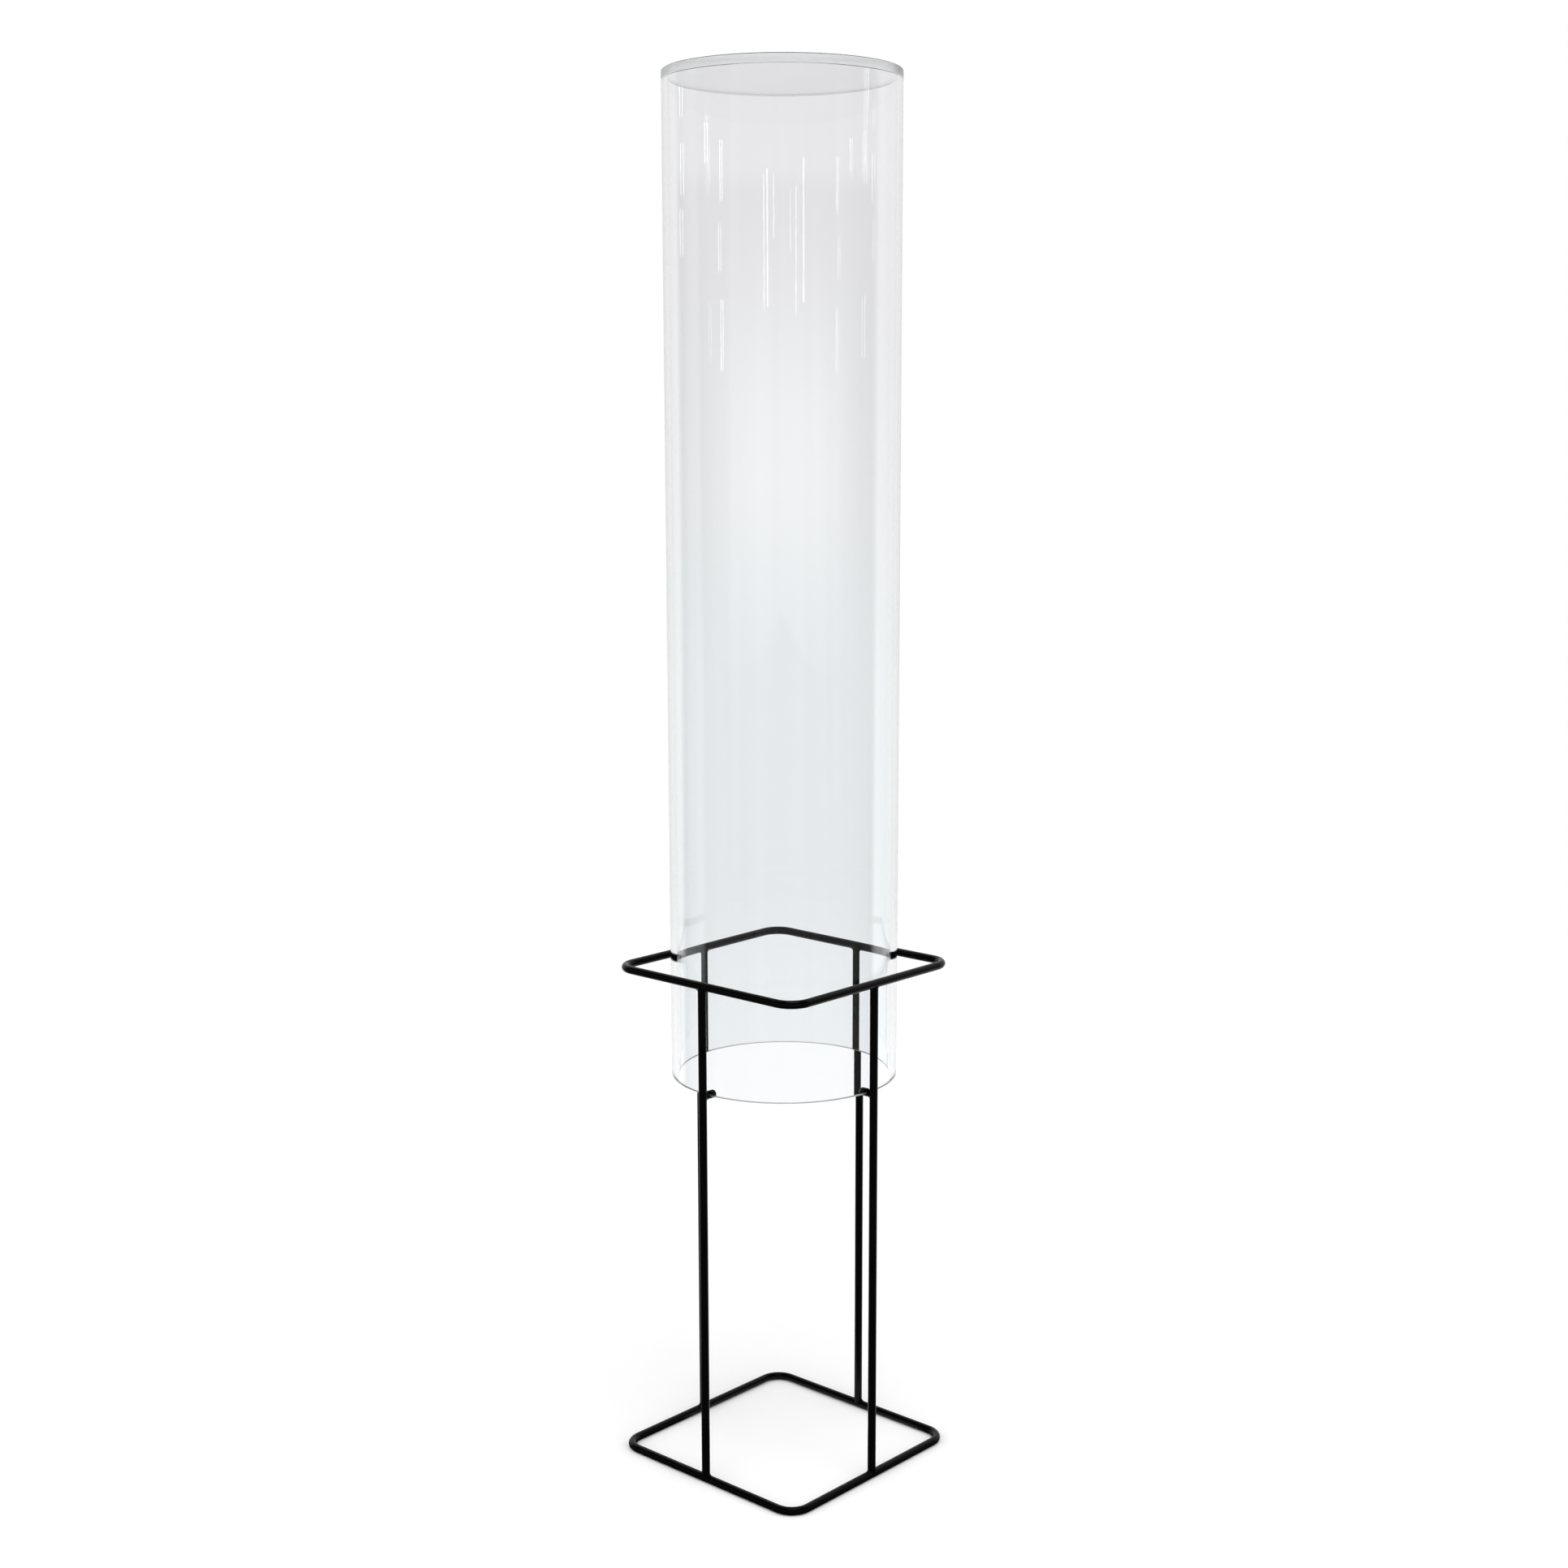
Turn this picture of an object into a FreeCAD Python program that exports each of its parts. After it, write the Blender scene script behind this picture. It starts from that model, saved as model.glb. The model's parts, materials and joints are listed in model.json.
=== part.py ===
import FreeCAD, Part

# A clear tube, open at the bottom and closed by a clear disc at the top, standing in a
# frame of round bar: two rounded-square rings, four legs between the middles of their
# sides, and on two neighbouring legs a short rest with a slot for the tube's rim. The
# top ring and the legs keep the tube from leaning away from the rests.
#
# Frame: origin on the floor under the tube's axis, +Z up. The rings' sides run along X
# and Y, so the legs stand on the X and Y axes. Millimetres.

import math
import os

import PartDesign
import Sketcher

PARTS_FOLDER = "parts"
doc = FreeCAD.newDocument("bubble_tube_lamp")

# ---------------------------------------------------------------------------
# Driving dimensions
# ---------------------------------------------------------------------------
DIMENSIONS = [
    ("bar_diameter", 8.0, "round bar of rings, legs and rests"),
    ("ring_corner_radius", 20.0, "bend of a ring's corners, on the bar's centre line"),
    ("stand_height", 506.0, "floor to the top of the top ring"),
    ("tube_diameter", 222.0, "outer diameter of the clear tube"),
    ("tube_wall", 6.0, "wall of the clear tube"),
    ("tube_length", 940.0, "tube's rim to the underside of the cap"),
    ("cap_thickness", 8.0, "clear disc on top of the tube"),
    ("tube_side_clearance", 0.5, "between the tube and the bars beside it"),
    ("rim_height", 394.0, "floor to the tube's rim"),
    ("edge_chamfer", 0.6, "ground edges of the tube and the cap"),
    ("rest_reach", 18.0, "leg's centre line to the tip of a rest"),
    ("rest_nose_chamfer", 1.5, "bevel round the tip of a rest"),
    ("rest_slot_depth", 4.0, "slot in the top of a rest, below the bar's top"),
    ("slot_side_clearance", 0.5, "between the tube's inner face and a rest's lip"),
    ("seat_clearance", 0.3, "between the tube's rim and a slot's floor"),
    ("cope_tip", 1.5, "height over the joint's centre where a cope's tips are dressed off"),
    ("frame_weld_radius", 5.0, "hollow of the welds between legs and rings"),
    ("rest_weld_radius", 4.0, "hollow of the weld under a rest"),
    ("weld_width", 4.4, "across a weld"),
    ("weld_bevel", 0.9, "bevel along both edges of a weld's hollow"),
    ("weld_sink", 0.3, "how far a weld's ends lie under the bars' surface"),
]

sheet = doc.addObject("Spreadsheet::Sheet", "sizes")
for row, (alias, value, meaning) in enumerate(DIMENSIONS, start=1):
    sheet.set("A%d" % row, alias)
    sheet.set("B%d" % row, str(value))
    sheet.set("C%d" % row, meaning)
    sheet.setAlias("B%d" % row, alias)
doc.recompute()

# Sizes that follow from the driving ones
BAR_RADIUS = "(sizes.bar_diameter / 2)"
TUBE_RADIUS = "(sizes.tube_diameter / 2)"
RING_HALF = "(sizes.tube_diameter / 2 + sizes.tube_side_clearance + sizes.bar_diameter / 2)"
RING_SPACING = "(sizes.stand_height - sizes.bar_diameter)"
SLOT_FLOOR = "(sizes.rim_height - sizes.seat_clearance)"
REST_HEIGHT = "(%s + sizes.rest_slot_depth - %s)" % (SLOT_FLOOR, BAR_RADIUS)
LIP_START = "(%s - %s + sizes.tube_wall + sizes.slot_side_clearance)" % (RING_HALF, TUBE_RADIUS)

X_AXIS = FreeCAD.Vector(1, 0, 0)
Y_AXIS = FreeCAD.Vector(0, 1, 0)
Z_AXIS = FreeCAD.Vector(0, 0, 1)
ORIGIN = FreeCAD.Vector(0, 0, 0)

# The side of the stand on which each leg stands, as a turn about Z from +X
SIDES = {"right": 0, "back": 90, "left": 180, "front": 270}
SIDES_WITH_A_REST = ("right", "front")


def number(expression):
    """Value of an expression of the sheet, in millimetres."""
    return float(sheet.evalExpression(expression.replace("sizes.", "")))


def turn(axis, degrees):
    return FreeCAD.Rotation(axis, degrees)


def place(thing, rotation, x="0", y="0", z="0"):
    """Turn an object and bind its place to the sheet."""
    thing.Placement = FreeCAD.Placement(ORIGIN, rotation)
    for axis, expression in (("x", x), ("y", y), ("z", z)):
        thing.setExpression("Placement.Base." + axis, expression + " * 1 mm")


# ---------------------------------------------------------------------------
# Bodies and sketches
# ---------------------------------------------------------------------------
def new_body(name):
    body = doc.addObject("PartDesign::Body", name)
    body.Label = name
    return body


def new_sketch(body, name, role):
    """Sketch on one of the body's own origin planes."""
    sketch = body.newObject("Sketcher::SketchObject", name)
    plane = [item for item in body.Origin.OriginFeatures if item.Role == role][0]
    sketch.AttachmentSupport = (plane, [""])
    sketch.MapMode = "FlatFace"
    return sketch


def bind(sketch, constraint, name, expression):
    """Add a sketch constraint and drive it from the sheet."""
    index = sketch.addConstraint(constraint)
    sketch.renameConstraint(index, name)
    sketch.setExpression("Constraints." + name, expression)


def centred_circle(sketch, name, radius):
    circle = sketch.addGeometry(Part.Circle(ORIGIN, Z_AXIS, number(radius)))
    sketch.addConstraint(Sketcher.Constraint("Coincident", circle, 3, -1, 1))
    bind(sketch, Sketcher.Constraint("Radius", circle, number(radius)), name, radius)


def round_edges(body, feature, name, size):
    """Bevel every circular edge of a feature."""
    doc.recompute()
    count = len(feature.Shape.Edges)
    rims = ["Edge%d" % (i + 1) for i in range(count)
            if isinstance(feature.Shape.Edges[i].Curve, Part.Circle)]
    chamfer = body.newObject("PartDesign::Chamfer", name)
    chamfer.Base = (feature, rims)
    chamfer.setExpression("Size", size + " * 1 mm")


# ---------------------------------------------------------------------------
# Stand
# ---------------------------------------------------------------------------
def ring(name, height):
    """Closed ring of round bar: one straight side and the bend after it, four times round."""
    body = new_body(name)
    straight = "(%s - sizes.ring_corner_radius)" % RING_HALF
    section = new_sketch(body, name + "_section", "XZ_Plane")
    circle = section.addGeometry(
        Part.Circle(FreeCAD.Vector(number(RING_HALF), 0, 0), Z_AXIS, number(BAR_RADIUS))
    )
    section.addConstraint(Sketcher.Constraint("PointOnObject", circle, 3, -1))
    offset = Sketcher.Constraint("DistanceX", -1, 1, circle, 3, number(RING_HALF))
    bind(section, offset, "offset", RING_HALF)
    radius = Sketcher.Constraint("Radius", circle, number(BAR_RADIUS))
    bind(section, radius, "bar_radius", BAR_RADIUS)
    side = body.newObject("PartDesign::Pad", name + "_side")
    side.Profile = section
    side.Midplane = True
    side.setExpression("Length", "2 * %s * 1 mm" % straight)
    end = new_sketch(body, name + "_bend_section", "XZ_Plane")
    end.AttachmentOffset = FreeCAD.Placement()
    end.setExpression("AttachmentOffset.Base.z", "-%s * 1 mm" % straight)
    bent = end.addGeometry(
        Part.Circle(FreeCAD.Vector(number(RING_HALF), 0, 0), Z_AXIS, number(BAR_RADIUS))
    )
    hinge = end.addGeometry(
        Part.LineSegment(
            FreeCAD.Vector(number(straight), 0, 0),
            FreeCAD.Vector(number(straight), number(BAR_RADIUS), 0),
        ),
        True,
    )
    end.addConstraint(Sketcher.Constraint("PointOnObject", bent, 3, -1))
    end.addConstraint(Sketcher.Constraint("PointOnObject", hinge, 1, -1))
    end.addConstraint(Sketcher.Constraint("Vertical", hinge))
    offset = Sketcher.Constraint("DistanceX", -1, 1, bent, 3, number(RING_HALF))
    bind(end, offset, "offset", RING_HALF)
    radius = Sketcher.Constraint("Radius", bent, number(BAR_RADIUS))
    bind(end, radius, "bar_radius", BAR_RADIUS)
    middle = Sketcher.Constraint("DistanceX", -1, 1, hinge, 1, number(straight))
    bind(end, middle, "middle_of_the_bend", straight)
    tall = Sketcher.Constraint("DistanceY", hinge, 1, hinge, 2, number(BAR_RADIUS))
    bind(end, tall, "axis_line", BAR_RADIUS)
    bend = body.newObject("PartDesign::Revolution", name + "_bend")
    bend.Profile = end
    bend.ReferenceAxis = (end, ["Axis0"])
    bend.Angle = 90
    around = body.newObject("PartDesign::PolarPattern", name + "_four_times")
    around.Originals = [side, bend]
    around.Axis = (section, ["V_Axis"])
    around.Angle = 360
    around.Occurrences = 4
    body.Tip = around
    place(body, turn(Z_AXIS, 0), z=height)
    return body


def leg(name, degrees):
    """Upright bar between the rings, its ends fish-mouthed to the rings' bars."""
    body = new_body(name)
    section = new_sketch(body, name + "_section", "XY_Plane")
    centred_circle(section, "bar_radius", BAR_RADIUS)
    section.AttachmentOffset = FreeCAD.Placement()
    section.setExpression("AttachmentOffset.Base.z", "sizes.cope_tip * 1 mm")
    bar = body.newObject("PartDesign::Pad", name + "_bar")
    bar.Profile = section
    bar.setExpression("Length", "(%s - 2 * sizes.cope_tip) * 1 mm" % RING_SPACING)
    cope = new_sketch(body, name + "_cope", "XZ_Plane")
    centred_circle(cope, "foot_radius", BAR_RADIUS)
    head = cope.addGeometry(
        Part.Circle(FreeCAD.Vector(0, number(RING_SPACING), 0), Z_AXIS, number(BAR_RADIUS))
    )
    cope.addConstraint(Sketcher.Constraint("PointOnObject", head, 3, -2))
    spacing = Sketcher.Constraint("DistanceY", -1, 1, head, 3, number(RING_SPACING))
    bind(cope, spacing, "spacing", RING_SPACING)
    head_size = Sketcher.Constraint("Radius", head, number(BAR_RADIUS))
    bind(cope, head_size, "head_radius", BAR_RADIUS)
    cut = body.newObject("PartDesign::Pocket", name + "_fish_mouths")
    cut.Profile = cope
    cut.Type = "ThroughAll"
    cut.Midplane = True
    place(
        body,
        turn(Z_AXIS, degrees),
        x="%s * cos(%d deg)" % (RING_HALF, degrees),
        y="%s * sin(%d deg)" % (RING_HALF, degrees),
        z=BAR_RADIUS,
    )
    return body


def rest(name, degrees):
    """Stub that points inwards from a leg: a seat for the tube's rim, and a lip inside the tube."""
    body = new_body(name)
    reach = number("sizes.rest_reach")
    radius = number(BAR_RADIUS)
    nose = number("sizes.rest_nose_chamfer")
    outline = new_sketch(body, name + "_outline", "XZ_Plane")
    corners = [
        FreeCAD.Vector(0, 0, 0),
        FreeCAD.Vector(0, radius, 0),
        FreeCAD.Vector(nose - reach, radius, 0),
        FreeCAD.Vector(-reach, radius - nose, 0),
        FreeCAD.Vector(-reach, 0, 0),
    ]
    root = outline.addGeometry(Part.LineSegment(corners[0], corners[1]))
    top = outline.addGeometry(Part.LineSegment(corners[1], corners[2]))
    bevel = outline.addGeometry(Part.LineSegment(corners[2], corners[3]))
    tip = outline.addGeometry(Part.LineSegment(corners[3], corners[4]))
    axis = outline.addGeometry(Part.LineSegment(corners[4], corners[0]))
    outline.addConstraint(Sketcher.Constraint("Coincident", root, 1, -1, 1))
    outline.addConstraint(Sketcher.Constraint("Coincident", root, 2, top, 1))
    outline.addConstraint(Sketcher.Constraint("Coincident", top, 2, bevel, 1))
    outline.addConstraint(Sketcher.Constraint("Coincident", bevel, 2, tip, 1))
    outline.addConstraint(Sketcher.Constraint("Coincident", tip, 2, axis, 1))
    outline.addConstraint(Sketcher.Constraint("Coincident", axis, 2, root, 1))
    outline.addConstraint(Sketcher.Constraint("Vertical", root))
    outline.addConstraint(Sketcher.Constraint("Horizontal", top))
    outline.addConstraint(Sketcher.Constraint("Vertical", tip))
    outline.addConstraint(Sketcher.Constraint("Horizontal", axis))
    root_size = Sketcher.Constraint("DistanceY", root, 1, root, 2, radius)
    bind(outline, root_size, "bar_radius", BAR_RADIUS)
    axis_size = Sketcher.Constraint("DistanceX", axis, 1, axis, 2, reach)
    bind(outline, axis_size, "reach", "sizes.rest_reach")
    for name_of_size, direction in (("bevel_along", "DistanceX"), ("bevel_across", "DistanceY")):
        bevel_size = Sketcher.Constraint(direction, bevel, 2, bevel, 1, nose)
        bind(outline, bevel_size, name_of_size, "sizes.rest_nose_chamfer")
    stub = body.newObject("PartDesign::Revolution", name + "_bar")
    stub.Profile = outline
    stub.ReferenceAxis = (outline, ["H_Axis"])
    stub.Angle = 360
    cope = new_sketch(body, name + "_cope", "XY_Plane")
    centred_circle(cope, "leg_radius", BAR_RADIUS)
    mouth = body.newObject("PartDesign::Pocket", name + "_fish_mouth")
    mouth.Profile = cope
    mouth.Type = "ThroughAll"
    mouth.Midplane = True
    slot = new_sketch(body, name + "_slot", "XZ_Plane")
    inner = -number(LIP_START)
    floor = radius - number("sizes.rest_slot_depth")
    above = 2 * radius
    low_right = FreeCAD.Vector(0, floor, 0)
    high_right = FreeCAD.Vector(0, above, 0)
    high_left = FreeCAD.Vector(inner, above, 0)
    low_left = FreeCAD.Vector(inner, floor, 0)
    edges = []
    for a, b in ((low_right, high_right), (high_right, high_left),
                 (high_left, low_left), (low_left, low_right)):
        edges.append(slot.addGeometry(Part.LineSegment(a, b)))
    for first, second in zip(edges, edges[1:] + edges[:1]):
        slot.addConstraint(Sketcher.Constraint("Coincident", first, 2, second, 1))
    for edge in (edges[0], edges[2]):
        slot.addConstraint(Sketcher.Constraint("Vertical", edge))
    for edge in (edges[1], edges[3]):
        slot.addConstraint(Sketcher.Constraint("Horizontal", edge))
    slot.addConstraint(Sketcher.Constraint("PointOnObject", edges[0], 2, -2))
    width_size = Sketcher.Constraint("DistanceX", edges[1], 2, edges[1], 1, -inner)
    bind(slot, width_size, "lip_start", LIP_START)
    top_size = Sketcher.Constraint("DistanceY", -1, 1, edges[0], 2, above)
    bind(slot, top_size, "over_the_bar", "sizes.bar_diameter")
    depth_size = Sketcher.Constraint("DistanceY", edges[0], 1, edges[0], 2, above - floor)
    bind(slot, depth_size, "depth", "%s + sizes.rest_slot_depth" % BAR_RADIUS)
    cut = body.newObject("PartDesign::Pocket", name + "_slot_cut")
    cut.Profile = slot
    cut.Type = "ThroughAll"
    cut.Midplane = True
    place(
        body,
        turn(Z_AXIS, degrees),
        x="%s * cos(%d deg)" % (RING_HALF, degrees),
        y="%s * sin(%d deg)" % (RING_HALF, degrees),
        z=REST_HEIGHT,
    )
    return body


# ---------------------------------------------------------------------------
# Welds
# ---------------------------------------------------------------------------
def weld_web(name, hollow):
    """Fillet weld in the corner between a bar along +X and a bar along +Y.

    Its hollow is part of a cylinder across both bars, and the bars are cut out of it.
    """
    body = new_body(name)
    reach = "(%s + %s)" % (hollow, BAR_RADIUS)
    core = "(%s / 2)" % BAR_RADIUS
    arc_radius = "(%s + sizes.weld_sink)" % hollow
    far = number(reach)
    near = number(core)
    toe = far - number(arc_radius)
    outline = new_sketch(body, name + "_outline", "XY_Plane")
    corners = [(near, near), (far, near), (far, toe), (toe, far), (near, far)]
    points = [FreeCAD.Vector(x, y, 0) for x, y in corners]
    low = outline.addGeometry(Part.LineSegment(points[0], points[1]))
    right = outline.addGeometry(Part.LineSegment(points[1], points[2]))
    circle = Part.Circle(FreeCAD.Vector(far, far, 0), Z_AXIS, number(arc_radius))
    arc = outline.addGeometry(Part.ArcOfCircle(circle, math.pi, 1.5 * math.pi))
    high = outline.addGeometry(Part.LineSegment(points[3], points[4]))
    left = outline.addGeometry(Part.LineSegment(points[4], points[0]))
    for first, its_end, second, its_start in (
        (low, 2, right, 1), (right, 2, arc, 2), (arc, 1, high, 1), (high, 2, left, 1), (left, 2, low, 1)
    ):
        outline.addConstraint(
            Sketcher.Constraint("Coincident", first, its_end, second, its_start)
        )
    for line in (low, high):
        outline.addConstraint(Sketcher.Constraint("Horizontal", line))
    for line in (right, left):
        outline.addConstraint(Sketcher.Constraint("Vertical", line))
    bind(outline, Sketcher.Constraint("DistanceX", -1, 1, low, 1, near), "core_x", core)
    bind(outline, Sketcher.Constraint("DistanceY", -1, 1, low, 1, near), "core_y", core)
    bind(outline, Sketcher.Constraint("DistanceX", -1, 1, arc, 3, far), "reach_x", reach)
    bind(outline, Sketcher.Constraint("DistanceY", -1, 1, arc, 3, far), "reach_y", reach)
    bind(outline, Sketcher.Constraint("DistanceX", -1, 1, low, 2, far), "foot_x", reach)
    bind(outline, Sketcher.Constraint("DistanceY", -1, 1, left, 1, far), "foot_y", reach)
    bead = body.newObject("PartDesign::Pad", name + "_bead")
    bead.Profile = outline
    bead.Midplane = True
    bead.setExpression("Length", "sizes.weld_width * 1 mm")
    round_edges(body, bead, name + "_bevel", "sizes.weld_bevel")
    for bar_name, plane in (("_bar_x", "YZ_Plane"), ("_bar_y", "XZ_Plane")):
        section = new_sketch(body, name + bar_name, plane)
        centred_circle(section, "bar_radius", BAR_RADIUS)
        cut = body.newObject("PartDesign::Pocket", name + bar_name + "_cut")
        cut.Profile = section
        cut.Type = "ThroughAll"
        cut.Midplane = True
    return body


def weld_pair(name, web):
    """The same weld on both sides of the bar along +Y, which stands on a bar along X."""
    other = doc.addObject("Part::Mirroring", name + "_other_side")
    other.Source = web
    other.Base = ORIGIN
    other.Normal = X_AXIS
    pair = doc.addObject("Part::Compound", name)
    pair.Links = [web, other]
    return pair


def weld(name, form, rotation, degrees, height):
    """One weld of the stand: a copy of a form, at a joint on the side's leg."""
    copy = doc.addObject("Part::Compound", name)
    copy.Label = name
    copy.Links = [form]
    place(
        copy,
        turn(Z_AXIS, degrees).multiply(rotation),
        x="%s * cos(%d deg)" % (RING_HALF, degrees),
        y="%s * sin(%d deg)" % (RING_HALF, degrees),
        z=height,
    )
    return copy


# ---------------------------------------------------------------------------
# Clear pieces
# ---------------------------------------------------------------------------
def clear_tube(name):
    body = new_body(name)
    section = new_sketch(body, name + "_section", "XY_Plane")
    centred_circle(section, "outer_radius", TUBE_RADIUS)
    centred_circle(section, "inner_radius", "%s - sizes.tube_wall" % TUBE_RADIUS)
    wall = body.newObject("PartDesign::Pad", name + "_wall")
    wall.Profile = section
    wall.setExpression("Length", "sizes.tube_length * 1 mm")
    round_edges(body, wall, name + "_ground_edges", "sizes.edge_chamfer")
    place(body, turn(Z_AXIS, 0), z="sizes.rim_height")
    return body


def clear_cap(name):
    body = new_body(name)
    section = new_sketch(body, name + "_section", "XY_Plane")
    centred_circle(section, "radius", TUBE_RADIUS)
    disc = body.newObject("PartDesign::Pad", name + "_disc")
    disc.Profile = section
    disc.setExpression("Length", "sizes.cap_thickness * 1 mm")
    round_edges(body, disc, name + "_ground_edges", "sizes.edge_chamfer")
    place(body, turn(Z_AXIS, 0), z="(sizes.rim_height + sizes.tube_length)")
    return body


# ---------------------------------------------------------------------------
# The lamp
# ---------------------------------------------------------------------------
nodes = [
    ring("bottom_ring", BAR_RADIUS),
    ring("top_ring", "(sizes.stand_height - %s)" % BAR_RADIUS),
]

frame_web = weld_web("frame_weld_form", "sizes.frame_weld_radius")
frame_pair = weld_pair("frame_weld_pair", frame_web)
rest_web = weld_web("rest_weld_form", "sizes.rest_weld_radius")

# The forms lie with one bar along X and the other along Y. On the right-hand leg the
# ring's bar runs along Y and the leg along Z, and a rest points towards -X.
FOOT_TURN = turn(Z_AXIS, 90).multiply(turn(X_AXIS, 90))
HEAD_TURN = turn(Z_AXIS, 90).multiply(turn(X_AXIS, -90))
REST_TURN = turn(Z_AXIS, 180).multiply(turn(X_AXIS, -90))

for side, degrees in SIDES.items():
    nodes.append(leg("leg_" + side, degrees))
    foot = weld("foot_weld_" + side, frame_pair, FOOT_TURN, degrees, BAR_RADIUS)
    head_height = "(sizes.stand_height - %s)" % BAR_RADIUS
    head = weld("head_weld_" + side, frame_pair, HEAD_TURN, degrees, head_height)
    nodes += [foot, head]

for side in SIDES_WITH_A_REST:
    nodes.append(rest("rest_" + side, SIDES[side]))
    under = weld("rest_weld_" + side, rest_web, REST_TURN, SIDES[side], REST_HEIGHT)
    nodes.append(under)

nodes += [clear_tube("tube"), clear_cap("cap")]

doc.recompute()

# ---------------------------------------------------------------------------
# Every feature must have been made before anything is written
# ---------------------------------------------------------------------------
for item in doc.Objects:
    failed = [state for state in item.State if state in ("Invalid", "Error")]
    if failed:
        raise RuntimeError("%s: %s" % (item.Name, ", ".join(failed)))

os.makedirs(PARTS_FOLDER, exist_ok=True)
for node in nodes:
    if node.Shape.isNull() or not node.Shape.isValid():
        raise RuntimeError("%s has no valid shape" % node.Label)
    node.Shape.exportStep(os.path.join(PARTS_FOLDER, node.Label + ".step"))
    size = node.Shape.BoundBox
    print("%-18s %d solids  %9.1f mm3  z %.2f to %.2f" % (
        node.Label, len(node.Shape.Solids), node.Shape.Volume, size.ZMin, size.ZMax))
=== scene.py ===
# %% [markdown]
# # A clear column in a bar stand
# This lesson dresses a floor lamp's tall clear column, and the black frame of round bar
# that holds it upright. The frame of the model comes from CAD and is already the right
# size, so nothing is scaled here: every length below is a real one, in metres.
# First the imported model is loaded. Its pieces keep their names.

# %% Load the imported model
import json
import math

import bmesh
import bpy
from mathutils import Matrix, Vector


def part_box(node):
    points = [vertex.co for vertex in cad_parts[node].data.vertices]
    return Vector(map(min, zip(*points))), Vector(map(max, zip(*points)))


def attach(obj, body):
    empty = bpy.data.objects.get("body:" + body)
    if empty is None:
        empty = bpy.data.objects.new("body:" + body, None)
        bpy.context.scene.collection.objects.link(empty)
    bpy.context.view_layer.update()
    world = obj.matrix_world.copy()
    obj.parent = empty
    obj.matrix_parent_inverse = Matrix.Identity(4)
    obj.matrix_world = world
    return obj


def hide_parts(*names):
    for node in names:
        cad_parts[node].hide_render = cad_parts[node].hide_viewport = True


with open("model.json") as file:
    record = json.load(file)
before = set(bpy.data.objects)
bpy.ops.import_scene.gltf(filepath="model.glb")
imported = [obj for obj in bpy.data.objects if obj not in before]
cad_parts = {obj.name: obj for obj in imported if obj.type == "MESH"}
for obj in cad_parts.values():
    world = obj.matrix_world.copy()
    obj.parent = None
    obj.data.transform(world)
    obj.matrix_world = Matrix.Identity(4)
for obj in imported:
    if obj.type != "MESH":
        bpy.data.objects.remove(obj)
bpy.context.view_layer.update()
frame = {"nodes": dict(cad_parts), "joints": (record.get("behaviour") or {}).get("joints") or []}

MM = 0.001
nodes = frame["nodes"]
joint_names = [joint["name"] for joint in frame["joints"]]
print("pieces from CAD:", len(nodes), "joints:", joint_names)

# %% [markdown]
# The new pieces have to sit exactly on the CAD ones, so their sizes are measured from the
# loaded pieces and not typed in again. A box of a leg gives the bar's thickness, a box of
# a ring gives how far the bars stand from the middle, and so on.

# %% Measure the stand and the column
leg_low, leg_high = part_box("leg_right")
ring_low, ring_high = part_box("bottom_ring")
top_ring_low, top_ring_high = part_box("top_ring")
rest_low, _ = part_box("rest_right")
tube_low, tube_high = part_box("tube")
cap_low, cap_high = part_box("cap")

BAR_RADIUS = (leg_high.y - leg_low.y) / 2
RING_HALF = ring_high.x - BAR_RADIUS
FOOT_HEIGHT = (ring_low.z + ring_high.z) / 2
HEAD_HEIGHT = (top_ring_low.z + top_ring_high.z) / 2
REST_HEIGHT = rest_low.z + BAR_RADIUS
TUBE_RADIUS = tube_high.x
print("bar radius %.4f m, bars at %.4f m, column radius %.4f m"
      % (BAR_RADIUS, RING_HALF, TUBE_RADIUS))

# %% [markdown]
# Colours are easiest to choose as the hex values that a paint chart or a web page uses.
# Those are sRGB values, bent to suit the eye, while a renderer adds up light and needs
# linear ones. One function does that turn for every colour in the file.

# %% Colour from a hex value
def linear(hex_colour):
    """Linear RGBA of an sRGB hex colour such as '#f4f8fa'."""
    bent = [int(hex_colour[place:place + 2], 16) / 255 for place in (1, 3, 5)]
    straight = [c / 12.92 if c <= 0.04045 else ((c + 0.055) / 1.055) ** 2.4 for c in bent]
    return (*straight, 1.0)


WHITE = linear("#ffffff")
print("half of white's hex value in linear light:", round(linear("#808080")[0], 3))

# %% [markdown]
# A material is a small graph of nodes. It could be drawn by hand in the shader editor, but
# a script makes the same graph every time. One function adds any kind of node, sets its
# fields, and fills or links its sockets, so that each graph below reads as a list.

# %% Add a node
def add(tree, kind, sockets=None, **fields):
    """Add a node; sockets maps a socket's name or number to a value or to an output."""
    made = tree.nodes.new(kind)
    for field, value in fields.items():
        setattr(made, field, value)
    for socket, value in (sockets or {}).items():
        if isinstance(value, bpy.types.NodeSocket):
            tree.links.new(value, made.inputs[socket])
        else:
            made.inputs[socket].default_value = value
    return made


def new_material(name):
    """A material with no nodes yet, and the tree that they go into."""
    material = bpy.data.materials.new(name)
    material.use_nodes = True
    material.node_tree.nodes.clear()
    return material, material.node_tree


print("nodes can be added; materials so far:", len(bpy.data.materials))

# %% [markdown]
# Every finish here is a noise of some real size. Painted images could carry it too, but
# they would have to be unwrapped onto every piece, and noise needs no unwrapping. Its
# scale is how many patterns fit in a metre, so one function turns millimetres into it.

# %% The size of a pattern
def per_metre(pattern_mm):
    return 1 / (pattern_mm * MM)


print("a pattern of 2 mm fits %.0f times in a metre" % per_metre(2))

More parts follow.
